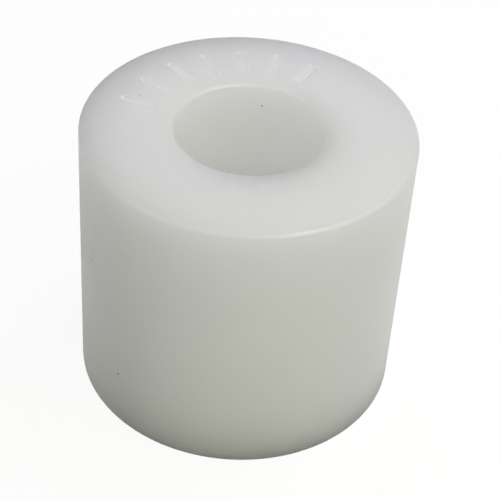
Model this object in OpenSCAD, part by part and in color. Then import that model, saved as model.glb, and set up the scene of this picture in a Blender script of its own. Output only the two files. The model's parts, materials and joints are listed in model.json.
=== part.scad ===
// Spacer washer: a short thick-walled tube, moulded in one piece, that holds
// two parts a set distance apart on the bolt that passes through it.
// It stands on one end face. The origin is the centre of that face, and +Z
// runs up the bore. All sizes are in millimetres.

/* [Body] */
// Outside diameter
outer_d = 28; // [22:0.5:45]
// Length, from one end face to the other
length = 25; // [8:0.5:60]
// Radius of the rounding on the two outer edges
edge_r = 0.3; // [0.1:0.05:1]

/* [Bore] */
// Diameter of the bore, which a 12 mm bolt passes with a little play
bore_d = 12.5; // [5:0.5:18]
// Radius of the rounding on the bore's two mouths
mouth_r = 0.3; // [0.1:0.05:1.5]

/* [Hidden] */
// Facets of a circle where the shape is shown as a mesh
$fn = 96;
outer_r = outer_d / 2;
bore_r = bore_d / 2;
wall = outer_r - bore_r;
// The roundings as made: in a thin wall they stay small enough to leave a
// quarter of it flat
edge = min(edge_r, wall / 4);
mouth = min(mouth_r, wall / 2);

// One side of the wall, cut along the axis: X is the distance from the axis,
// Y the height. The two strips leave the four corners open, and a circle
// rounds off each of them.
module wall_section() {
    flat_from = bore_r + mouth;
    flat_to = outer_r - edge;

    // the full height, as wide as the flat of the end faces
    translate([flat_from, 0])
        square([flat_to - flat_from, length]);

    // the bore's straight wall and its rounded mouths
    translate([bore_r, mouth])
        square([mouth, length - 2 * mouth]);
    for (y = [mouth, length - mouth])
        translate([flat_from, y])
            circle(r = mouth);

    // the outer straight wall and its rounded edges
    translate([flat_to, edge])
        square([edge, length - 2 * edge]);
    for (y = [edge, length - edge])
        translate([flat_to, y])
            circle(r = edge);
}

// The whole washer: the wall turned once round the axis
module spacer() {
    color([0.84, 0.85, 0.82])
        rotate_extrude()
            wall_section();
}

spacer();
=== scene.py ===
# %% [markdown]
# # A moulded spacer washer
#
# The object is a short, thick tube of natural plastic that keeps two parts a set distance
# apart on a bolt. The CAD model gives its true size. This script dresses that model: it
# builds the surface again with the small hollows that a mould leaves, gives it a plastic
# that light can enter, and sets up a small studio round it.

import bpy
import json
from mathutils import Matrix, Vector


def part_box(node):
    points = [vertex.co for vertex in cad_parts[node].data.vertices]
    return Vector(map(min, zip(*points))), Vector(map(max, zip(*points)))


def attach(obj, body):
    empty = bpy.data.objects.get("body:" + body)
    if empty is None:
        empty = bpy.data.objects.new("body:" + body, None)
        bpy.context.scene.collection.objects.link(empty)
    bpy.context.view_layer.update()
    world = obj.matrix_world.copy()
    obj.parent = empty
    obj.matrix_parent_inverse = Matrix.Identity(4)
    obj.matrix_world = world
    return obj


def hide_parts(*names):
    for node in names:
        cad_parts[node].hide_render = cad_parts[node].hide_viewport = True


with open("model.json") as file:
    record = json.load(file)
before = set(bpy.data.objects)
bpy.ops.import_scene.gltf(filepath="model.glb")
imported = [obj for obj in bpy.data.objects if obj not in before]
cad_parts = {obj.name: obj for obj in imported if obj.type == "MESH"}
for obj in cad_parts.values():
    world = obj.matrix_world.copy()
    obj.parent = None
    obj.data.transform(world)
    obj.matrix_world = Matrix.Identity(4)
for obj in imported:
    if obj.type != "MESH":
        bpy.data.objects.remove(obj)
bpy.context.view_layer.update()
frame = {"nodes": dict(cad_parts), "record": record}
print("CAD nodes:", sorted(frame["nodes"]))

# %% [markdown]
# ## Sizes
#
# Blender works in metres, and so does the CAD frame. Every size below comes from the CAD
# model: the box of its one node gives the outside, and the record of its bore gives the
# hole. The bore's straight wall is a little shorter than the washer, and what is missing at
# each end is the rounding of its mouth. The outer edges are rounded as much.

# %% Read the sizes from the frame
import json
import math

import bmesh
import bpy
from mathutils import Matrix, Quaternion, Vector

MM = 0.001

low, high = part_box("spacer")
bore = next(m for m in frame["record"]["mounts"] if m["name"] == "bore")
outer_r = high.x
bore_r = bore["dims"]["r_mm"] * MM
length = high.z - low.z
edge_r = (length - bore["dims"]["length_mm"] * MM) / 2
wall = outer_r - bore_r
centre = Vector((0, 0, low.z + length / 2))
print(f"outside {2 * outer_r / MM:.1f} mm, bore {2 * bore_r / MM:.1f} mm,",
      f"length {length / MM:.1f} mm, edges {edge_r / MM:.2f} mm")

# %% [markdown]
# ## Camera
#
# The camera stands a hand's breadth away with a long lens, which keeps the upright lines of
# a small part almost parallel. It looks down at 40 degrees, so that it sees the end face,
# the outside and a little way into the bore. A camera in Blender looks along its own -Z
# axis, and to_track_quat turns that axis to the part. The last three turns are the small
# errors of a camera held by hand.

# %% Make the camera
VIEW_HEIGHT = math.radians(39.97)
VIEW_DISTANCE = 9.456 * outer_r
LENS_MM = 109.1
SENSOR_MM = 36.0
TURN_RIGHT = math.radians(0.32)
TURN_UP = math.radians(-0.19)
TILT = math.radians(3.82)

towards_camera = Vector((0, -math.cos(VIEW_HEIGHT), math.sin(VIEW_HEIGHT)))
camera = bpy.data.objects.new("camera", bpy.data.cameras.new("camera"))
bpy.context.scene.collection.objects.link(camera)
bpy.context.scene.camera = camera
camera.data.lens = LENS_MM
camera.data.sensor_width = SENSOR_MM
camera.data.clip_start = outer_r
camera.location = centre + VIEW_DISTANCE * towards_camera
camera.rotation_mode = "QUATERNION"
camera.rotation_quaternion = (
    (-towards_camera).to_track_quat("-Z", "Y")
    @ Quaternion((0, 1, 0), -TURN_RIGHT)
    @ Quaternion((1, 0, 0), TURN_UP)
    @ Quaternion((0, 0, 1), TILT)
)
print(f"camera {VIEW_DISTANCE / MM:.0f} mm from the middle of the washer")

# %% [markdown]
# ## The section of the wall
#
# The washer is a shape of revolution, so its section says everything: a rectangle with
# rounded corners. A grid of one face starts as a square of side 1, for which Blender asks
# half a side. It is scaled to the size of the wall and turned upright, and a bevel of its
# four corner points makes the roundings. A bevel on points, and not on edges, is what
# rounds a flat outline. The face is then taken away and its outline kept.

# %% Draw the section
HALF_SIDE = 0.5
CORNER_STEPS = 6


def wall_section():
    """The outline of the wall, cut along the axis, in the XZ plane."""
    section = bmesh.new()
    bmesh.ops.create_grid(section, x_segments=1, y_segments=1, size=HALF_SIDE)
    bmesh.ops.scale(section, vec=(wall, length, 1), verts=section.verts)
    bmesh.ops.rotate(section, cent=(0, 0, 0), matrix=Matrix.Rotation(math.pi / 2, 3, "X"),
                     verts=section.verts)
    bmesh.ops.translate(section, vec=(bore_r + wall / 2, 0, centre.z), verts=section.verts)
    bmesh.ops.bevel(section, geom=section.verts[:], affect="VERTICES", offset=edge_r,
                    offset_type="OFFSET", segments=CORNER_STEPS, profile=0.5, material=-1)
    bmesh.ops.delete(section, geom=section.faces[:], context="FACES_ONLY")
    return section


section = wall_section()
print("points in the section:", len(section.verts))

# %% [markdown]
# ## Enough points where they are needed
#
# A mesh can only bend where it has points. The upper end face will carry small hollows, so
# its edge of the section is cut finely. The long walls only need a few points, to keep
# their faces from being too thin. Each cut is an even one, so a rule on the spacing is
# enough. The short edges of the roundings stay as the bevel made them.

# %% Cut the section's straight edges
FINE_STEP = 0.08 * MM
WALL_STEP = 1.5 * MM
FLAT_STEP = 1.2 * MM


def cut_edge(edge, step):
    """Cuts one straight edge of the section into even pieces of about this length."""
    cuts = max(1, round(edge.calc_length() / step)) - 1
    bmesh.ops.subdivide_edges(section, edges=[edge], cuts=cuts)


for edge in section.edges[:]:
    start, end = (v.co for v in edge.verts)
    if edge.calc_length() < 2 * edge_r:
        continue
    if abs(start.x - end.x) < edge_r:
        cut_edge(edge, WALL_STEP)
    elif start.z > centre.z:
        cut_edge(edge, FINE_STEP)
    else:
        cut_edge(edge, FLAT_STEP)
print("points after the cuts:", len(section.verts))

# %% [markdown]
# ## Spin the section round the axis
#
# Spin sweeps the outline round Z. It is done in two parts: fine steps over the stretch of
# the end face that carries the hollows, and coarser steps over the rest, which is smooth.
# The second part starts from the last outline of the first, and the two ends of the turn
# meet, so merging the doubled points closes the ring. Spin doesn't promise which way the
# faces look, so the normals are worked out again once the shape is closed.

# %% Spin it
MARKED_FROM = math.radians(50)
MARKED_TO = math.radians(176)
FINE_TURNS = 262
COARSE_TURNS = 96
FULL_TURN = 2 * math.pi
Z_AXIS = (0, 0, 1)
SAME_PLACE = 0.001 * MM


def spin(body, outline, angle, steps):
    """Sweeps the outline round Z and gives back the outline where the sweep ends."""
    swept = bmesh.ops.spin(body, geom=outline, cent=(0, 0, 0), axis=Z_AXIS, dvec=(0, 0, 0),
                           angle=angle, steps=steps, use_merge=False)
    return swept["geom_last"]


body = section
bmesh.ops.rotate(body, cent=(0, 0, 0), matrix=Matrix.Rotation(MARKED_FROM, 3, "Z"),
                 verts=body.verts)
outline = body.verts[:] + body.edges[:]
outline = spin(body, outline, MARKED_TO - MARKED_FROM, FINE_TURNS)
spin(body, outline, FULL_TURN - (MARKED_TO - MARKED_FROM), COARSE_TURNS)
bmesh.ops.remove_doubles(body, verts=body.verts, dist=SAME_PLACE)
bmesh.ops.recalc_face_normals(body, faces=body.faces)
print("faces after the spin:", len(body.faces), "volume in cubic millimetres:",
      round(body.calc_volume() / MM ** 3))

# %% [markdown]
# ## Three helpers for marks
#
# A mark in a surface needs a place, a distance from it and a soft edge. The place is given
# as on a clock, by an angle and a distance to the axis. The distance is measured to a short
# straight stretch, which gives a mark with round ends. The soft edge is a smooth step.

# %% Define the helpers


def smooth_step(x):
    """0 below 0, 1 above 1 and an S-shaped rise between them."""
    x = min(max(x, 0.0), 1.0)
    return x * x * (3 - 2 * x)


def polar(angle, radius, z):
    """The point at this angle and distance from the axis."""
    return Vector((radius * math.cos(angle), radius * math.sin(angle), z))


def distance_to_stretch(point, start, end):
    """How far a point is from the straight stretch between start and end."""
    along = end - start
    share = (point - start).dot(along) / along.length_squared
    return (point - start - along * min(max(share, 0.0), 1.0)).length


print("the smooth step at a quarter, a half and three quarters:",
      [smooth_step(x) for x in (0.25, 0.5, 0.75)])

# %% [markdown]
# ## The row of moulded hollows
#
# Moulds often leave a row of small marks on an end face. Here they are seven plain hollows
# with round ends, each pointing at the bore. They are sunk and not raised, because the end
# face is a seat and has to stay flat. A hollow is a stretch of line with a depth: a point
# of the mesh near that line moves down, most on the line itself and not at all beyond the
# rim, and a smooth step in between gives the soft wall of a moulded mark.

# %% Sink the hollows
MARKS = 7
MARK_FIRST = math.radians(164)
MARK_PITCH = math.radians(-17)
MARK_RING = 9.75 * MM
MARK_HALF_LENGTH = 1.25 * MM
MARK_FLOOR = 0.22 * MM
MARK_RIM = 0.55 * MM
MARK_DEPTH = 0.20 * MM

face_points = [v for v in body.verts if v.co.z > high.z - SAME_PLACE]
sunk = 0
for i in range(MARKS):
    angle = MARK_FIRST + i * MARK_PITCH
    start = polar(angle, MARK_RING - MARK_HALF_LENGTH, high.z)
    end = polar(angle, MARK_RING + MARK_HALF_LENGTH, high.z)
    for v in face_points:
        away = distance_to_stretch(Vector((v.co.x, v.co.y, high.z)), start, end)
        if away < MARK_RIM:
            v.co.z -= MARK_DEPTH * smooth_step((MARK_RIM - away) / (MARK_RIM - MARK_FLOOR))
            sunk += 1
print("hollows:", MARKS, "points moved:", sunk)

# %% [markdown]
# ## A nick in the outside
#
# A knock has left a tiny dent in the left side, a third of a millimetre across. The faces
# of the wall are larger than that, so they are subdivided near the nick, twice, and the
# second time closer to it. New points lie on the flat of the old faces, so they are pushed
# out to the true radius first, and only then does a smooth dip press the nearest ones in.

# %% Press the nick in
NICK = polar(math.radians(204.6), outer_r, low.z + 14.2 * MM)
NICK_RADIUS = 0.17 * MM
NICK_DEPTH = 0.06 * MM
NICK_GRIDS = ((1.0 * MM, 3), (0.5 * MM, 5))
ROUND_AGAIN = 2.0 * MM


def refine_near(point, reach, cuts):
    """Subdivides the faces whose middle is within reach of a point."""
    near = [f for f in body.faces if (f.calc_center_median() - point).length < reach]
    edges = list({edge for face in near for edge in face.edges})
    bmesh.ops.subdivide_edges(body, edges=edges, cuts=cuts, use_grid_fill=True)
    return len(near)


for reach, cuts in NICK_GRIDS:
    print("faces refined:", refine_near(NICK, reach, cuts))
pressed = 0
for v in body.verts:
    away = (v.co - NICK).length
    if away < ROUND_AGAIN:
        depth = NICK_DEPTH * smooth_step((NICK_RADIUS - away) / NICK_RADIUS)
        v.co.xy *= (outer_r - depth) / v.co.xy.length
        pressed += depth > 0
print("points pressed in:", pressed)

# %% [markdown]
# ## Finish the piece
#
# The bmesh becomes a mesh in the scene. Smooth shading carries the light evenly round the
# walls, and the narrow faces of the rounded edges keep the turn from wall to face crisp.
# The piece stands in for the CAD node and rides on its body.

# %% Make the object
PIECE = "moulded_spacer"

for face in body.faces:
    face.smooth = True
mesh = bpy.data.meshes.new(PIECE)
body.to_mesh(mesh)
body.free()
spacer = bpy.data.objects.new(PIECE, mesh)
bpy.context.scene.collection.objects.link(spacer)
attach(spacer, "root")
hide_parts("spacer")
print("triangles:", sum(len(p.vertices) - 2 for p in mesh.polygons))

# %% [markdown]
# ## A way to write shader maths
#
# Nodes are easier to read as expressions. A Wire is the output of a node. Adding or
# multiplying wires adds the Math node that does it, so mask * 0.5 is both an expression and
# a node. Python asks for the reflected form, such as __rsub__, when the number comes first,
# and that is how 1 - mask works.

# %% Define Wire


class Wire:
    """The output of a node, which can be used in sums."""

    def __init__(self, finish, socket):
        self.finish = finish
        self.socket = socket

    def math(self, operation, first, second):
        return self.finish.node("ShaderNodeMath", {"operation": operation},
                                {0: first, 1: second})

    def __add__(self, other):
        return self.math("ADD", self, other)

    def __radd__(self, other):
        return self.math("ADD", other, self)

    def __sub__(self, other):
        return self.math("SUBTRACT", self, other)

    def __rsub__(self, other):
        return self.math("SUBTRACT", other, self)

    def __mul__(self, other):
        return self.math("MULTIPLY", self, other)

    def __rmul__(self, other):
        return self.math("MULTIPLY", other, self)

    def larger(self, other):
        return self.math("MAXIMUM", self, other)


print("Wire has", sum(callable(part) for part in vars(Wire).values()), "methods")

# %% [markdown]
# ## The nodes of one finish
#
# A Finish holds the nodes of one material, or of the world. Its node method adds any node:
# first the settings, then the values or wires that go into its sockets. The other methods
# are the few nodes that this washer needs more than once.

# %% Define Finish


class Finish:
    """The nodes of one material, or of the world."""

    def __init__(self, owner):
        owner.use_nodes = True
        self.owner = owner
        self.tree = owner.node_tree
        self.tree.nodes.clear()

    def node(self, kind, settings=None, sockets=None, output=0):
        """Adds a node and gives one of its outputs."""
        made = self.tree.nodes.new(kind)
        for name, value in (settings or {}).items():
            setattr(made, name, value)
        for key, value in (sockets or {}).items():
            if isinstance(value, Wire):
                self.tree.links.new(value.socket, made.inputs[key])
            else:
                made.inputs[key].default_value = value
        return Wire(self, made.outputs[output]) if made.outputs else None

    def mix(self, factor, first, second):
        """A colour between two colours."""
        return self.node("ShaderNodeMix", {"data_type": "RGBA"},
                         {0: factor, 6: first, 7: second}, output=2)

    def noise(self, place, size, detail):
        """A cloudy pattern, mostly near 0.5, whose features are about this size."""
        return self.node("ShaderNodeTexNoise", {},
                         {"Vector": place, "Scale": 1 / size, "Detail": detail})

    def rise(self, value, start, end):
        """0 below start, 1 above end and a smooth rise between them."""
        return self.node("ShaderNodeMapRange", {"interpolation_type": "SMOOTHSTEP"},
                         {"Value": value, "From Min": start, "From Max": end})

    def spot(self, place, where, core, rim):
        """1 within core of a point, 0 beyond rim and a smooth fall between them."""
        away = self.node("ShaderNodeVectorMath", {"operation": "DISTANCE"},
                         {0: place, 1: where}, output="Value")
        return 1 - self.rise(away, core, rim)


print("Finish has", sum(callable(part) for part in vars(Finish).values()), "methods")

# %% [markdown]
# ## Dark marks, pale spots and shiny stretches
#
# The washer is clean but not new. A few specks of dirt sit on it, each smaller than a
# pinhead, and a faint smear above the nick. The nick itself is darker, and so are two faint
# patches of the end face just in front of the bore. One spot on the upper left edge is
# pale, and the pale spot beside the nick is a painted highlight, where the dent's edge would
# catch the light. Two stretches of the rounded edges have been handled until they shine.
# Each mark is a small ball round a point of the surface, given here as a place, the size of
# its core, the size at which it ends, both in millimetres, and its strength.

# %% List the marks


def on_outside(degrees, height):
    """A point of the outer wall, from its angle and its height in millimetres."""
    return polar(math.radians(degrees), outer_r, low.z + height * MM)


def in_bore(degrees, height):
    """A point of the bore's wall."""
    return polar(math.radians(degrees), bore_r, low.z + height * MM)


def on_top(degrees, radius):
    """A point of the upper end face, from its angle and its distance to the axis."""
    return polar(math.radians(degrees), radius * MM, high.z)


DIRT_AND_DARK_MARKS = (
    # darker in the nick
    (on_outside(204.6, 14.2), 0.04, 0.14, 0.70),
    (on_outside(207.9, 15.2), 0.05, 0.50, 0.12),
    (on_outside(209.4, 16.3), 0.05, 0.50, 0.09),
    (on_outside(225.6, 5.6), 0.05, 0.14, 0.85),
    (in_bore(81.4, 23.0), 0.02, 0.11, 0.90),
    (on_top(158.8, 10.1), 0.02, 0.16, 0.30),
    # two faint darker patches of the end face just in front of the bore
    (on_top(274.5, 7.9), 0.10, 0.80, 0.03),
    (on_top(269.0, 7.9), 0.10, 0.80, 0.03),
)
PALE_SPOT_AND_PAINTED_HIGHLIGHT = (
    # a pale spot on the upper left edge
    (on_outside(200.0, 24.7), 0.10, 0.50, 0.50),
    # painted highlight beside the nick, where the dent's edge would catch the light
    (on_outside(202.5, 14.3), 0.05, 0.25, 0.35),
)
SHINY_MARKS = (
    (in_bore(92.0, 25.0), 2.20, 4.20, 0.90),
    (on_outside(288.0, 25.0), 1.20, 3.00, 0.80),
)
print("marks:", len(DIRT_AND_DARK_MARKS), "dark,", len(PALE_SPOT_AND_PAINTED_HIGHLIGHT), "pale and", len(SHINY_MARKS),
      "shiny")

# %% [markdown]
# ## Tell the parts of the washer apart
#
# The bore, the hollows and the rounded edges each get something of their own, so the finish
# has to know where it is. Two numbers are enough for a shape of revolution: the height, and
# the distance to the axis, which is the length of the place with its height left out. A
# mask is 1 on its part and 0 elsewhere, with a short smooth rise between them. The mask of
# the rims begins just before the rounding does and is full just inside it.

# %% Make the masks of the parts
WITHOUT_HEIGHT = (1.0, 1.0, 0.0)
RIM_BEGINS = 1.2 * edge_r
RIM_IS_FULL = 0.9 * edge_r

plastic = Finish(bpy.data.materials.new("milky_plastic"))
place = plastic.node("ShaderNodeTexCoord", output="Object")
height = plastic.node("ShaderNodeSeparateXYZ", {}, {0: place}, output="Z")
flat_place = plastic.node("ShaderNodeVectorMath", {"operation": "MULTIPLY"},
                          {0: place, 1: WITHOUT_HEIGHT})
radius = plastic.node("ShaderNodeVectorMath", {"operation": "LENGTH"},
                      {0: flat_place}, output="Value")

in_the_bore = 1 - plastic.rise(radius, bore_r, bore_r + edge_r)
on_a_rim = (plastic.rise(height, high.z - RIM_BEGINS, high.z - RIM_IS_FULL)
            * (plastic.rise(radius, outer_r - RIM_BEGINS, outer_r - RIM_IS_FULL)
               + (1 - plastic.rise(radius, bore_r + RIM_IS_FULL, bore_r + RIM_BEGINS))))
on_the_face = (plastic.rise(radius, bore_r + edge_r, bore_r + 2 * edge_r)
               * (1 - plastic.rise(radius, outer_r - 2 * edge_r, outer_r - edge_r)))
in_a_hollow = on_the_face * (1 - plastic.rise(height, high.z - MARK_DEPTH / 2, high.z))
print("nodes after the masks:", len(plastic.tree.nodes))

# %% [markdown]
# ## The colour of the resin
#
# The plastic has no pigment. Its colour is the share of light that comes back out of it. A
# little more blue than red and green is lost on the way, so the walls are faintly yellow,
# and clouds of slightly denser resin vary that a little. The bore is painted a little paler,
# most near its mouth: that is painted light, for light that the bore lacks. The pale spots,
# the painted highlight and the dark marks go on top.

# %% Colour the plastic
RESIN = (0.945, 0.945, 0.915, 1.0)
RESIN_DENSE = (0.93, 0.93, 0.896, 1.0)
# the pale colour of the painted light in the bore, of the painted highlight and of a pale
# spot
PALE_SPOT_AND_PAINTED_LIGHT = (0.98, 0.98, 0.97, 1.0)
DIRT_AND_DARK_COLOUR = (0.08, 0.07, 0.05, 1.0)
CLOUD_SIZE = 6 * MM
CLOUD_DETAIL = 3.0
# how deep and how strongly the bore is painted paler: painted light
PAINTED_BORE_LIGHT_DEPTH = 14.0 * MM
PAINTED_BORE_LIGHT_SHARE = 0.8


def mark(where, core, rim, strength):
    """The mask of one mark of the lists above."""
    return plastic.spot(place, where, core * MM, rim * MM) * strength


clouds = plastic.noise(place, CLOUD_SIZE, CLOUD_DETAIL)
colour = plastic.mix(clouds, RESIN, RESIN_DENSE)
# painted light: the bore is painted paler, most near its mouth
painted_bore_light = in_the_bore * plastic.rise(height, high.z - PAINTED_BORE_LIGHT_DEPTH, high.z) * PAINTED_BORE_LIGHT_SHARE
colour = plastic.mix(painted_bore_light, colour, PALE_SPOT_AND_PAINTED_LIGHT)
# pale spots, one of them the painted highlight beside the nick
for pale_spot in PALE_SPOT_AND_PAINTED_HIGHLIGHT:
    colour = plastic.mix(mark(*pale_spot), colour, PALE_SPOT_AND_PAINTED_LIGHT)
dirt_and_dark = 0.0
# dark marks: dirt specks and a smear, the darker nick and two faint patches before the bore
for dark_mark in DIRT_AND_DARK_MARKS:
    mask = mark(*dark_mark)
    colour = plastic.mix(mask, colour, DIRT_AND_DARK_COLOUR)
    dirt_and_dark = mask + dirt_and_dark
print("nodes after the colour:", len(plastic.tree.nodes))

# %% [markdown]
# ## The satin skin and where it shines
#
# A mould leaves the skin very slightly wavy, which breaks up the bright lines on the rounded
# edges, and a fine grain makes it matt. Two Bump nodes do that, the waves first and the
# grain on top of them. The dark marks are more matt than plastic.
#
# The pins that press the hollows into the face are polished, so the hollows are shiny, and
# so are the handled stretches of the edges. The shader's coat, a thin clear layer on top,
# makes those places shine and leaves the rest.

# %% Give it a skin
WAVE_SIZE = 1.3 * MM
WAVE_DETAIL = 1.0
WAVE_HEIGHT = 0.010 * MM
GRAIN_SIZE = 0.30 * MM
GRAIN_DETAIL = 2.0
GRAIN_HEIGHT = 0.003 * MM
SMOOTH_SKIN = 0.36
MATT_SKIN = 0.12
MATT_DIRT_AND_DARK = 0.20

waves = plastic.node("ShaderNodeBump", {}, {
    "Distance": WAVE_HEIGHT, "Height": plastic.noise(place, WAVE_SIZE, WAVE_DETAIL)})
skin = plastic.node("ShaderNodeBump", {}, {
    "Distance": GRAIN_HEIGHT, "Height": plastic.noise(place, GRAIN_SIZE, GRAIN_DETAIL),
    "Normal": waves})
roughness = SMOOTH_SKIN + MATT_SKIN * clouds + MATT_DIRT_AND_DARK * dirt_and_dark
shine = in_a_hollow
for stretch in SHINY_MARKS:
    shine = mark(*stretch) * on_a_rim + shine
print("nodes after the skin:", len(plastic.tree.nodes))

# %% [markdown]
# ## Milky plastic
#
# Natural plastic is milky because light enters it, wanders about and comes out again
# somewhere else, which is what the Principled shader's subsurface setting does. The scale
# is how far light goes between two turns, the same for red, green and blue, and the
# anisotropy says that it mostly turns only a little. Light that enters the end face leaves
# through the walls, so they are brightest just under the edge, and the bore isn't dark;
# the painted light in the bore adds a little more.

# %% Put the plastic together
WANDER = 22 * MM
ALL_COLOURS_ALIKE = (1.0, 1.0, 1.0)
FORWARD = 0.7
INDEX = 1.50
SHINE_ROUGHNESS = 0.14

surface = plastic.node("ShaderNodeBsdfPrincipled", {"subsurface_method": "RANDOM_WALK"}, {
    "Base Color": colour,
    "Roughness": roughness,
    "IOR": INDEX,
    "Subsurface Weight": 1.0,
    "Subsurface Radius": ALL_COLOURS_ALIKE,
    "Subsurface Scale": WANDER,
    "Subsurface Anisotropy": FORWARD,
    "Coat Weight": shine,
    "Coat Roughness": SHINE_ROUGHNESS,
    "Normal": skin,
})
plastic.node("ShaderNodeOutputMaterial", {}, {"Surface": surface})
mesh.materials.append(plastic.owner)
print("materials on the piece:", [m.name for m in mesh.materials])

# %% [markdown]
# ## How often light may bounce
#
# Milky plastic hands light on many times: in through the end face, out in the bore, in
# again on the other side, down to the floor and back. Blender stops a ray after four soft
# bounces, which leaves the bore too dark, so here it may go on for longer.

# %% Let the light go on for longer
SOFT_BOUNCES = 12
ALL_BOUNCES = 16

bpy.context.scene.cycles.diffuse_bounces = SOFT_BOUNCES
bpy.context.scene.cycles.max_bounces = ALL_BOUNCES
print("soft bounces:", SOFT_BOUNCES)

# %% [markdown]
# ## Floor
#
# The washer stands on a pale sheet against white. A lamp bright enough to burn the sheet
# out would burn out the washer too, so the sheet does it with the Light Path node: rays
# from the camera, and rays that a shiny surface sends on, see mostly white, while the light
# that the sheet throws back at the washer is that of a plain pale sheet. A share of the
# real shading is kept, so the washer's shadow still shows. Away from the shadow the lamps
# leave the sheet at OPEN_SHEET, and the glow makes up what that share lacks to full white.

# %% Make the floor
SHEET = (0.75, 0.75, 0.73, 1.0)
WHITE = (1.0, 1.0, 1.0, 1.0)
SHADOW_SHARE = 0.18
OPEN_SHEET = 0.58
FLOOR_SIZE = 6.0


def seen_directly(finish):
    """1 for a ray from the camera, from a shiny surface or through a clear one, else 0."""
    def ray(kind):
        return finish.node("ShaderNodeLightPath", output=f"Is {kind} Ray")
    return ray("Camera").larger(ray("Glossy")).larger(ray("Transmission"))


def white_sheet():
    """A pale sheet that shows white and keeps a share of its shadows."""
    finish = Finish(bpy.data.materials.new("white_sheet"))
    paper = finish.node("ShaderNodeBsdfDiffuse", {}, {"Color": SHEET})
    glow = (1 - SHADOW_SHARE * OPEN_SHEET) / (1 - SHADOW_SHARE)
    white = finish.node("ShaderNodeEmission", {}, {"Color": WHITE, "Strength": glow})
    seen = finish.node("ShaderNodeMixShader", {},
                       {0: (1 - SHADOW_SHARE) * seen_directly(finish), 1: paper, 2: white})
    finish.node("ShaderNodeOutputMaterial", {}, {"Surface": seen})
    return finish.owner


floor = bmesh.new()
bmesh.ops.create_grid(floor, x_segments=1, y_segments=1, size=FLOOR_SIZE / 2)
sheet_mesh = bpy.data.meshes.new("sheet")
floor.to_mesh(sheet_mesh)
floor.free()
sheet_mesh.materials.append(white_sheet())
sheet = bpy.data.objects.new("sheet", sheet_mesh)
bpy.context.scene.collection.objects.link(sheet)
print("a sheet of", FLOOR_SIZE, "metres, which keeps this share of its shadows:",
      SHADOW_SHARE)

# %% [markdown]
# ## Room
#
# Behind the sheet is the world. It does as the sheet does: it gives the room's faint even
# light, and is seen as white.

# %% Make the room
ROOM_LIGHT = 0.05
ROOM_COLOUR = (1.0, 1.0, 0.98, 1.0)


def white_room():
    """A room with a faint even light, which is seen as white."""
    finish = Finish(bpy.data.worlds.new("white_room"))
    room = finish.node("ShaderNodeBackground", {},
                       {"Color": ROOM_COLOUR, "Strength": ROOM_LIGHT})
    white = finish.node("ShaderNodeBackground", {}, {"Color": WHITE})
    seen = finish.node("ShaderNodeMixShader", {},
                       {0: seen_directly(finish), 1: room, 2: white})
    finish.node("ShaderNodeOutputWorld", {}, {"Surface": seen})
    return finish.owner


bpy.context.scene.world = white_room()
print("the room's light:", ROOM_LIGHT)

# %% [markdown]
# ## Lamps
#
# Three lamps light the washer. A long strip hangs in front of it, on the right and high up:
# it lights the walls, and its reflection draws the bright lines on the rounded edges. Two
# square softboxes behind it fill the end face and the bore. The right one is the stronger,
# so the lower left is left in shade. The front lamp is slightly warm and the back ones are
# slightly cool, which keeps the walls creamy and the end face a plain white.

# %% Make the lamps
LAMP_DISTANCE = 0.5
LONG_STRIP = (0.8, 0.12)
SQUARE = (0.28, 0.28)
WARM = (0.985, 1.0, 0.77)
COOL = (0.865, 0.865, 1.0)


def softbox(name, azimuth, elevation, size, watts, colour):
    """A lamp that looks at the washer. Angles are in degrees, and azimuth 90 is +Y."""
    light = bpy.data.lights.new(name, "AREA")
    light.shape = "RECTANGLE"
    light.size, light.size_y = size
    light.energy = watts
    light.color = colour
    lamp = bpy.data.objects.new(name, light)
    a, e = math.radians(azimuth), math.radians(elevation)
    way = Vector((math.cos(a) * math.cos(e), math.sin(a) * math.cos(e), math.sin(e)))
    lamp.location = centre + LAMP_DISTANCE * way
    lamp.rotation_mode = "QUATERNION"
    lamp.rotation_quaternion = (-way).to_track_quat("-Z", "Y")
    bpy.context.scene.collection.objects.link(lamp)


softbox("front_strip", 300, 47, LONG_STRIP, 1.26, WARM)
softbox("back_right_lamp", 30, 60, SQUARE, 1.01, COOL)
softbox("back_left_lamp", 130, 60, SQUARE, 0.45, COOL)

# %% [markdown]
# ## Finish
#
# The Standard view shows colours as they are written.

# %% Set the view
bpy.context.scene.view_settings.view_transform = "Standard"
